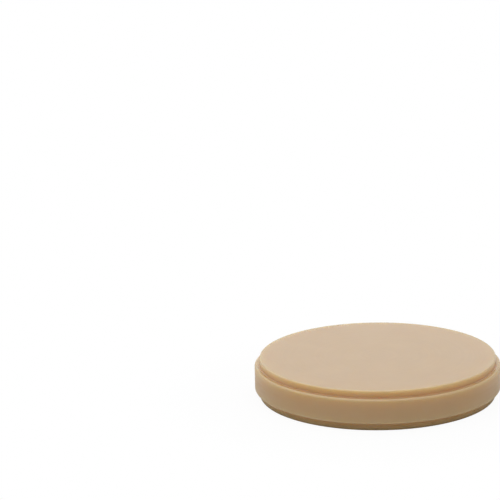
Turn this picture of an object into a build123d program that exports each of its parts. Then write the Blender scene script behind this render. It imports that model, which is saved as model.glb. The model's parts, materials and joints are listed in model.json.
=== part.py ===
"""Dental milling disc: the round resin blank from which crowns and bridges are milled.

It is one solid casting, turned to size. A tall rim runs round its waist, for the milling
machine's holder to grip, and a slightly smaller round step stands proud on each side of it.
Millimetres, +Z up, origin at the centre of the lower face.
"""

from build123d import *

import os

# The rim: the holder's seat closes round it, and the clamp ring presses on its ledge.
rim_diameter = 98.5
rim_height = 10.0

# The ledges: how far the rim stands out from the step above it and the step below it.
upper_ledge_width = 2.0
lower_ledge_width = 2.0

# The steps: they stand up through the holder's opening and are milled from both sides.
upper_step_height = 3.0
lower_step_height = 3.0

# The turned corners: every outer one is chamfered, and the tool's nose leaves its radius in the roots.
step_chamfer = 0.3
rim_chamfer = 0.5
root_radius = 0.5

rim_radius = rim_diameter / 2
upper_step_radius = rim_radius - upper_ledge_width
lower_step_radius = rim_radius - lower_ledge_width

rim_bottom = lower_step_height
rim_top = rim_bottom + rim_height
upper_face = rim_top + upper_step_height


with BuildPart() as milling_disc:
    # Half of the section, from the axis out to the rim, turned once round the axis.
    with BuildSketch(Plane.XZ):
        with BuildLine():
            Polyline(
                (0, 0),
                (lower_step_radius, 0),
                (lower_step_radius, rim_bottom),
                (rim_radius, rim_bottom),
                (rim_radius, rim_top),
                (upper_step_radius, rim_top),
                (upper_step_radius, upper_face),
                (0, upper_face),
                close=True,
            )
        make_face()
    revolve(axis=Axis.Z)

    # The corners lie on four levels: the lower face, the two ledges and the upper face.
    # On each ledge the smaller circle is the step's root, and the larger one is the rim's edge.
    corners = milling_disc.edges().filter_by(GeomType.CIRCLE).group_by(Axis.Z)
    lower_root, lower_rim_edge = corners[1].sort_by(SortBy.RADIUS)
    upper_root, upper_rim_edge = corners[2].sort_by(SortBy.RADIUS)
    chamfer(corners[0] + corners[-1], length=step_chamfer)
    chamfer([lower_rim_edge, upper_rim_edge], length=rim_chamfer)
    fillet([lower_root, upper_root], radius=root_radius)

milling_disc.part.label = "milling_disc"

os.makedirs("parts", exist_ok=True)
export_step(milling_disc.part, "parts/milling_disc.step")
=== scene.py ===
"""Dental milling disc, dressed for its picture.

The blank is one casting of tooth-coloured acrylic, turned to size. Light enters it, scatters and
comes out again a few millimetres away, so its edges glow and its walls look warmer than its top.
Metres, +Z up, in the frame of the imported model.
"""

import json
import math

import bpy
import numpy as np
from mathutils import Matrix, Vector


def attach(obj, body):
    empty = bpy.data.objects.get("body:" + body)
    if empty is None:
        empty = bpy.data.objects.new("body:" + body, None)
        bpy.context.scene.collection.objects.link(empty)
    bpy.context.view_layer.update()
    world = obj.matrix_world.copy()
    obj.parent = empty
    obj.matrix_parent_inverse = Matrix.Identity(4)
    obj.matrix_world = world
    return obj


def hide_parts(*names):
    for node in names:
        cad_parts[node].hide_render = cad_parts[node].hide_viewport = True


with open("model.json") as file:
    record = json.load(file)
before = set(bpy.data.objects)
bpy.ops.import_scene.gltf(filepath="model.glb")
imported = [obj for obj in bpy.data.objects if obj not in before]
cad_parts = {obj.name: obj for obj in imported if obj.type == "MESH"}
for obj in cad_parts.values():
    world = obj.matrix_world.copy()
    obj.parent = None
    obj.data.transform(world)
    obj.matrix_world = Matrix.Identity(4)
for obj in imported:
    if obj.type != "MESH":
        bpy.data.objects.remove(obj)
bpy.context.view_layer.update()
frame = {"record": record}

MM = 0.001
NODE = "milling_disc"


# Sizes of the blank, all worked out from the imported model's mounts

mounts = {mount["name"]: mount for mount in frame["record"]["mounts"]}


def wall_radius(name):
    """Radius of a turned wall."""
    return mounts[name]["dims"]["r_mm"] * MM


def wall_end(name, side):
    """Height of the lower (-1) or upper (1) end of a wall's straight part.

    It is the height of the wall's middle, less or plus half its length.
    """
    return mounts[name]["pos_m"][2] + side * mounts[name]["dims"]["length_mm"] * MM / 2


def face_height(name):
    """Height of a flat face."""
    return mounts[name]["pos_m"][2]


rim_radius = wall_radius("rim")
upper_step_radius = wall_radius("upper_step")
lower_step_radius = wall_radius("lower_step")
lower_face = face_height("lower_face")
lower_ledge = face_height("lower_ledge")
upper_ledge = face_height("upper_ledge")
upper_face = face_height("upper_face")
lower_chamfer = wall_end("lower_step", -1) - lower_face
lower_root = lower_ledge - wall_end("lower_step", 1)
lower_rim_chamfer = wall_end("rim", -1) - lower_ledge
upper_rim_chamfer = upper_ledge - wall_end("rim", 1)
upper_root = wall_end("upper_step", -1) - upper_ledge
upper_chamfer = upper_face - wall_end("upper_step", 1)


# The blank's surface

# How finely the surface is drawn: points round a ring, steps over a rounded corner, rings along a
# straight stretch, and how far the first and last of those rings stay from the stretch's ends.
TURNS = 384
ARC_STEPS = 8
STRETCH_RINGS = 5
SUPPORT = 0.02 * MM

# How round a chamfer's two edges are polished: their radius as a share of the chamfer.
EASING = 1.4


def blank_corners():
    """The section's corners from the lower pole, out round the rim, to the upper pole.

    Each is (radius, height, radius of its rounding). A chamfer's two edges are polished round,
    with a radius of EASING times the chamfer, so that they almost run together.
    """
    return [
        (0, lower_face, 0),
        (lower_step_radius - lower_chamfer, lower_face, EASING * lower_chamfer),
        (lower_step_radius, lower_face + lower_chamfer, EASING * lower_chamfer),
        (lower_step_radius, lower_ledge, lower_root),
        (rim_radius - lower_rim_chamfer, lower_ledge, EASING * lower_rim_chamfer),
        (rim_radius, lower_ledge + lower_rim_chamfer, EASING * lower_rim_chamfer),
        (rim_radius, upper_ledge - upper_rim_chamfer, EASING * upper_rim_chamfer),
        (rim_radius - upper_rim_chamfer, upper_ledge, EASING * upper_rim_chamfer),
        (upper_step_radius, upper_ledge, upper_root),
        (upper_step_radius, upper_face - upper_chamfer, EASING * upper_chamfer),
        (upper_step_radius - upper_chamfer, upper_face, EASING * upper_chamfer),
        (0, upper_face, 0),
    ]


def rounded_section(corners):
    """The section's points (radius, height), from just off one pole to just off the other.

    Where the outline turns by an angle a, an arc of radius q starts q tan(a/2) before the corner.
    Its point at angle b, from 0 to a, is the start, plus q sin b ahead, plus q (1 - cos b) towards
    the inside of the turn. Each straight stretch between two arcs has rings spaced evenly from
    SUPPORT after its start to SUPPORT before its end, which keep its shading flat.
    """
    corners = np.array(corners, dtype=float)
    place, radius = corners[:, :2], corners[1:-1, 2:]
    ahead = np.diff(place, axis=0)
    ahead /= np.linalg.norm(ahead, axis=1, keepdims=True)
    before, after = ahead[:-1], ahead[1:]
    sideways = np.stack([-before[:, 1], before[:, 0]], axis=1)
    lift = (sideways * after).sum(axis=1, keepdims=True)
    turn = np.arctan2(np.abs(lift), (before * after).sum(axis=1, keepdims=True))
    reach = radius * np.tan(turn / 2)
    starts, ends = place[1:-1] - reach * before, place[1:-1] + reach * after

    bend = turn[:, None] * np.linspace(0, 1, ARC_STEPS + 1)[None, :, None]
    along = np.sin(bend) * before[:, None]
    inward = (1 - np.cos(bend)) * (np.sign(lift) * sideways)[:, None]
    arcs = starts[:, None] + radius[:, None] * (along + inward)

    first = np.concatenate([place[:1], ends]) + SUPPORT * ahead
    last = np.concatenate([starts, place[-1:]]) - SUPPORT * ahead
    share = np.linspace(0, 1, STRETCH_RINGS)[None, :, None]
    stretches = first[:, None] + share * (last - first)[:, None]
    rounded = np.concatenate([stretches[:-1], arcs], axis=1).reshape(-1, 2)
    return np.concatenate([rounded, stretches[-1]])


def turned_mesh(name, section):
    """A closed surface of revolution: point (r, z) at turn t goes to (r cos t, r sin t, z).

    The section's rings are joined by quads, and each end is closed by a fan of triangles round
    its pole.
    """
    rows = len(section)
    turn = np.arange(TURNS) * 2 * math.pi / TURNS
    ring = np.stack([np.cos(turn), np.sin(turn)], axis=1)
    flat = section[:, None, :1] * ring[None]
    height = np.broadcast_to(section[:, None, 1:], (rows, TURNS, 1))
    points = np.concatenate([flat, height], axis=2).reshape(-1, 3)
    poles = np.array([[0, 0, section[0, 1]], [0, 0, section[-1, 1]]])
    lower_pole = len(points)
    upper_pole = lower_pole + 1
    points = np.concatenate([points, poles])

    here = np.arange(TURNS)
    after = (here + 1) % TURNS
    base = (np.arange(rows - 1) * TURNS)[:, None]
    quads = np.stack(
        [base + here, base + after, base + TURNS + after, base + TURNS + here], axis=2
    ).reshape(-1, 4)
    last = (rows - 1) * TURNS
    lower_fan = np.stack([np.full(TURNS, lower_pole), after, here], axis=1)
    upper_fan = np.stack([np.full(TURNS, upper_pole), last + here, last + after], axis=1)
    faces = quads.tolist() + lower_fan.tolist() + upper_fan.tolist()

    mesh = bpy.data.meshes.new(name)
    mesh.from_pydata(points.tolist(), [], faces)
    mesh.polygons.foreach_set("use_smooth", np.ones(len(mesh.polygons), dtype=bool))
    mesh.update()
    return mesh


# Materials

WHITE = "#FFFFFF"


def linear(hex_colour):
    """An sRGB colour written as #RRGGBB, as linear red, green, blue and alpha.

    The curve is the sRGB standard's: a straight line near black, and a power of 2.4 above it.
    """
    share = [int(hex_colour[i : i + 2], 16) / 255 for i in (1, 3, 5)]
    return [s / 12.92 if s <= 0.04045 else ((s + 0.055) / 1.055) ** 2.4 for s in share] + [1.0]


def add(tree, kind, inputs=None, **settings):
    """Adds a node, sets its properties, and sets or links its inputs: a socket is linked."""
    node = tree.nodes.new(kind)
    for key, value in settings.items():
        setattr(node, key, value)
    for key, value in (inputs or {}).items():
        if isinstance(value, bpy.types.NodeSocket):
            tree.links.new(value, node.inputs[key])
        else:
            node.inputs[key].default_value = value
    return node


def new_material(name):
    """An empty node material and its tree."""
    material = bpy.data.materials.new(name)
    material.use_nodes = True
    material.node_tree.nodes.clear()
    return material, material.node_tree


# The shade through the thickness, from 0 at the lower face to 1 at the upper one. The blank is
# cast in shades that run into one another, as a tooth is deepest in colour at its neck, and the
# deepest is the lowest. It also holds painted light: the deep, warm stop on the lower step is
# painted shade for the step's place in the rim's shadow, and the paler, greyer stop at the upper
# face is a painted sheen.
SHADES_WITH_PAINTED_LIGHT = ((0.13, "#D5A66A"), (0.24, "#C4A67E"), (0.8, "#C5A57A"), (1.0, "#C4A67F"))

# Milky clouding, from the way the powder packs in the mould.
CLOUD_SIZE = 11 * MM
CLOUD_DEPTH = 0.03
CLOUD_DETAIL = 3.0
CLOUD_ROUGHNESS = 0.45

# The turning tool feeds about 0.15 mm a turn. Its marks are drawn ten times as wide, to show.
FEED_MARK = 1.5 * MM
FEED_MARK_DEPTH = 0.004 * MM
FEED_MARK_DETAIL = 2.0
FEED_MARK_ROUGHNESS = 0.6

# Nearly all values of a noise texture lie between these two.
NOISE_LOW = 0.3
NOISE_HIGH = 0.7

# The faces take the last fine cut, and the walls are left a little rougher. Flatness is 1 on a
# level face and 0 on an upright wall, and up to WALL_FLATNESS the surface is as rough as a wall.
FACE_ROUGHNESS = 0.20
WALL_ROUGHNESS = 0.43
ROUGHNESS_CHANGE = 0.04
WALL_FLATNESS = 0.8

# Acrylic's refractive index, and how far light spreads inside the milky blank, with the shares of
# that for red, green and blue.
PMMA_IOR = 1.49
LIGHT_REACH = 16 * MM
LIGHT_REACH_SHARES = (0.92, 0.7, 0.38)


def cast_pmma():
    """Polymethyl methacrylate, cast solid in tooth shades and turned.

    It is milky: light spreads through it, so edges and thin ledges glow and shaded walls turn
    warm. The turning leaves it satin, with rings too fine to see but as a change of sheen.
    """
    material, tree = new_material("cast_pmma")
    coordinates = add(tree, "ShaderNodeTexCoord").outputs
    place = coordinates["Object"]
    height = add(tree, "ShaderNodeSeparateXYZ", {0: place}).outputs["Z"]
    level = add(
        tree,
        "ShaderNodeMapRange",
        {"Value": height, "From Min": lower_face, "From Max": upper_face},
    )
    # The ramp gives the cast shades, with painted shade on the lower step and a painted sheen on
    # the upper face.
    shade_with_painted_light = add(tree, "ShaderNodeValToRGB", {"Fac": level.outputs["Result"]})
    stops = shade_with_painted_light.color_ramp.elements
    for stop, (position, colour) in enumerate(SHADES_WITH_PAINTED_LIGHT):
        if stop >= len(stops):
            stops.new(position)
        stops[stop].position = position
        stops[stop].color = linear(colour)

    cloud = add(
        tree,
        "ShaderNodeTexNoise",
        {
            "Vector": place,
            "Scale": 1 / CLOUD_SIZE,
            "Detail": CLOUD_DETAIL,
            "Roughness": CLOUD_ROUGHNESS,
        },
    )
    clouding = add(
        tree,
        "ShaderNodeMapRange",
        {
            "Value": cloud.outputs[0],
            "From Min": NOISE_LOW,
            "From Max": NOISE_HIGH,
            "To Min": 1 - CLOUD_DEPTH / 2,
            "To Max": 1 + CLOUD_DEPTH / 2,
        },
    )
    colour = add(
        tree,
        "ShaderNodeVectorMath",
        {0: shade_with_painted_light.outputs["Color"], "Scale": clouding.outputs["Result"]},
        operation="SCALE",
    )

    # The tool travels along the faces and along the walls: radius plus height counts its turns.
    flat = add(tree, "ShaderNodeVectorMath", {0: place, 1: (1, 1, 0)}, operation="MULTIPLY")
    radius = add(tree, "ShaderNodeVectorMath", {0: flat.outputs["Vector"]}, operation="LENGTH")
    travel = add(tree, "ShaderNodeMath", {0: radius.outputs["Value"], 1: height}, operation="ADD")
    marks = add(
        tree,
        "ShaderNodeTexNoise",
        {
            "W": travel.outputs[0],
            "Scale": 1 / FEED_MARK,
            "Detail": FEED_MARK_DETAIL,
            "Roughness": FEED_MARK_ROUGHNESS,
        },
        noise_dimensions="1D",
    )
    upright = add(tree, "ShaderNodeSeparateXYZ", {0: coordinates["Normal"]}).outputs["Z"]
    flatness = add(tree, "ShaderNodeMath", {0: upright}, operation="ABSOLUTE")
    finish = add(
        tree,
        "ShaderNodeMapRange",
        {
            "Value": flatness.outputs[0],
            "From Min": WALL_FLATNESS,
            "From Max": 1.0,
            "To Min": WALL_ROUGHNESS,
            "To Max": FACE_ROUGHNESS,
        },
    )
    change = add(
        tree,
        "ShaderNodeMapRange",
        {
            "Value": marks.outputs[0],
            "From Min": NOISE_LOW,
            "From Max": NOISE_HIGH,
            "To Min": -ROUGHNESS_CHANGE,
            "To Max": ROUGHNESS_CHANGE,
        },
    )
    sheen = add(
        tree,
        "ShaderNodeMath",
        {0: finish.outputs["Result"], 1: change.outputs["Result"]},
        operation="ADD",
    )
    relief = add(
        tree,
        "ShaderNodeBump",
        {"Height": marks.outputs[0], "Distance": FEED_MARK_DEPTH, "Strength": 1.0},
    )
    acrylic = add(
        tree,
        "ShaderNodeBsdfPrincipled",
        {
            "Base Color": colour.outputs["Vector"],
            "Roughness": sheen.outputs[0],
            "Normal": relief.outputs["Normal"],
            "IOR": PMMA_IOR,
            "Subsurface Weight": 1.0,
            "Subsurface Radius": LIGHT_REACH_SHARES,
            "Subsurface Scale": LIGHT_REACH,
        },
        subsurface_method="RANDOM_WALK",
    )
    add(tree, "ShaderNodeOutputMaterial", {"Surface": acrylic.outputs["BSDF"]})
    return material


# The card throws light on the blank from its own colour. Seen by the camera, it is almost white
# near the blank and white beyond. Mirrored in the blank, it keeps nearly all its own colour and
# shadow near the blank, and is white beyond.
CARD_COLOUR = "#E3E3E3"
CARD_NEAR = rim_radius
CARD_FAR = 2 * rim_radius
SEEN_WHITE_NEAR = 0.95
MIRRORED_WHITE_NEAR = 0.1


def white_card():
    """Matt white card, rolled smooth: a plain ground that keeps a faint shadow of the blank."""
    material, tree = new_material("white_card")
    place = add(tree, "ShaderNodeTexCoord").outputs["Object"]
    distance = add(tree, "ShaderNodeVectorMath", {0: place}, operation="LENGTH")
    path = add(tree, "ShaderNodeLightPath")
    mirrored = add(
        tree,
        "ShaderNodeMath",
        {0: path.outputs["Is Glossy Ray"], 1: path.outputs["Is Transmission Ray"]},
        operation="MAXIMUM",
    )
    shares = []
    for ray, near in (
        (path.outputs["Is Camera Ray"], SEEN_WHITE_NEAR),
        (mirrored.outputs[0], MIRRORED_WHITE_NEAR),
    ):
        white = add(
            tree,
            "ShaderNodeMapRange",
            {
                "Value": distance.outputs["Value"],
                "From Min": CARD_NEAR,
                "From Max": CARD_FAR,
                "To Min": near,
                "To Max": 1.0,
            },
            interpolation_type="SMOOTHSTEP",
        )
        share = add(
            tree, "ShaderNodeMath", {0: ray, 1: white.outputs["Result"]}, operation="MULTIPLY"
        )
        shares.append(share.outputs[0])
    whiteness = add(tree, "ShaderNodeMath", {0: shares[0], 1: shares[1]}, operation="ADD")
    card = add(tree, "ShaderNodeBsdfDiffuse", {"Color": linear(CARD_COLOUR)})
    glow = add(tree, "ShaderNodeEmission", {"Color": linear(WHITE), "Strength": 1.0})
    mixed = add(
        tree,
        "ShaderNodeMixShader",
        {0: whiteness.outputs[0], 1: card.outputs[0], 2: glow.outputs[0]},
    )
    add(tree, "ShaderNodeOutputMaterial", {"Surface": mixed.outputs[0]})
    return material


# The piece

blank = bpy.data.objects.new("blank", turned_mesh("blank", rounded_section(blank_corners())))
bpy.context.scene.collection.objects.link(blank)
blank.data.materials.append(cast_pmma())
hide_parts(NODE)
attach(blank, "root")


# Floor and light

# Half the floor's width, and how far the floor lies below the blank.
FLOOR_HALF = 4.0
FLOOR_DROP = 0.05 * MM

# How much of the white surroundings lights the blank.
WORLD_LIGHT = 0.41

# One wide lamp above, a little to the left: its place and width in metres, and its power in watts.
SOFTBOX_PLACE = (-0.1, 0.05, 0.8)
SOFTBOX_SIZE = 0.9
SOFTBOX_POWER = 5.2


def make_floor():
    """A flat square of card, a hair below the blank, which touches it only here and there."""
    mesh = bpy.data.meshes.new("floor")
    corners = FLOOR_HALF * np.array([[-1, -1, 0], [1, -1, 0], [1, 1, 0], [-1, 1, 0]])
    corners[:, 2] = -FLOOR_DROP
    mesh.from_pydata(corners.tolist(), [], [(0, 1, 2, 3)])
    floor = bpy.data.objects.new("floor", mesh)
    floor.data.materials.append(white_card())
    bpy.context.scene.collection.objects.link(floor)


def make_world():
    """White all round: at full strength where it is seen, mirrored or seen through something.

    As light on the blank it is weaker.
    """
    world = bpy.data.worlds.new("studio")
    bpy.context.scene.world = world
    world.use_nodes = True
    tree = world.node_tree
    tree.nodes.clear()
    path = add(tree, "ShaderNodeLightPath")
    seen = add(
        tree,
        "ShaderNodeMath",
        {0: path.outputs["Is Camera Ray"], 1: path.outputs["Is Glossy Ray"]},
        operation="MAXIMUM",
    )
    seen = add(
        tree,
        "ShaderNodeMath",
        {0: seen.outputs[0], 1: path.outputs["Is Transmission Ray"]},
        operation="MAXIMUM",
    )
    strength = add(
        tree,
        "ShaderNodeMapRange",
        {"Value": seen.outputs[0], "To Min": WORLD_LIGHT, "To Max": 1.0},
    )
    white = add(
        tree,
        "ShaderNodeBackground",
        {"Color": linear(WHITE), "Strength": strength.outputs["Result"]},
    )
    add(tree, "ShaderNodeOutputWorld", {"Surface": white.outputs[0]})


def make_softbox(name, place, size, power):
    """A square area lamp at place, facing the blank."""
    lamp = bpy.data.lights.new(name, "AREA")
    lamp.shape = "SQUARE"
    lamp.size = size
    lamp.energy = power
    box = bpy.data.objects.new(name, lamp)
    box.location = place
    box.rotation_euler = (-Vector(place)).to_track_quat("-Z", "Y").to_euler()
    bpy.context.scene.collection.objects.link(box)


make_floor()
make_world()
make_softbox("top_softbox", SOFTBOX_PLACE, SOFTBOX_SIZE, SOFTBOX_POWER)


# Camera, fitted to the outlines of the blank in the photograph

# Its place in metres, before the blank's axis and above the floor, and its turns in degrees.
CAMERA_BACK = 0.9607
CAMERA_HEIGHT = 0.3082
CAMERA_YAW = -2.992
CAMERA_PITCH = 14.475
CAMERA_ROLL = -1.187

# Its focal length and the width of its sensor, in millimetres.
CAMERA_LENS = 180.0
CAMERA_SENSOR = 36.0

# The nearest and farthest that it sees, in metres.
CAMERA_NEAREST = 0.01
CAMERA_FARTHEST = 20.0


def make_camera():
    """A long lens a metre away, turned by yaw, tipped down by pitch, and rolled about its axis.

    It looks along (sin yaw cos pitch, cos yaw cos pitch, -sin pitch).
    """
    yaw, pitch, roll = (math.radians(a) for a in (CAMERA_YAW, CAMERA_PITCH, CAMERA_ROLL))
    ahead = Vector(
        (math.sin(yaw) * math.cos(pitch), math.cos(yaw) * math.cos(pitch), -math.sin(pitch))
    )
    level = Vector((math.cos(yaw), -math.sin(yaw), 0))
    upright = level.cross(ahead)
    right = level * math.cos(roll) + upright * math.sin(roll)
    up = upright * math.cos(roll) - level * math.sin(roll)
    data = bpy.data.cameras.new("camera")
    data.lens = CAMERA_LENS
    data.sensor_width = CAMERA_SENSOR
    data.clip_start = CAMERA_NEAREST
    data.clip_end = CAMERA_FARTHEST
    camera = bpy.data.objects.new("camera", data)
    turn = Matrix((right, up, -ahead)).transposed()
    camera.matrix_world = Matrix.Translation((0, -CAMERA_BACK, CAMERA_HEIGHT)) @ turn.to_4x4()
    bpy.context.scene.collection.objects.link(camera)
    bpy.context.scene.camera = camera


make_camera()
bpy.context.scene.view_settings.view_transform = "Standard"
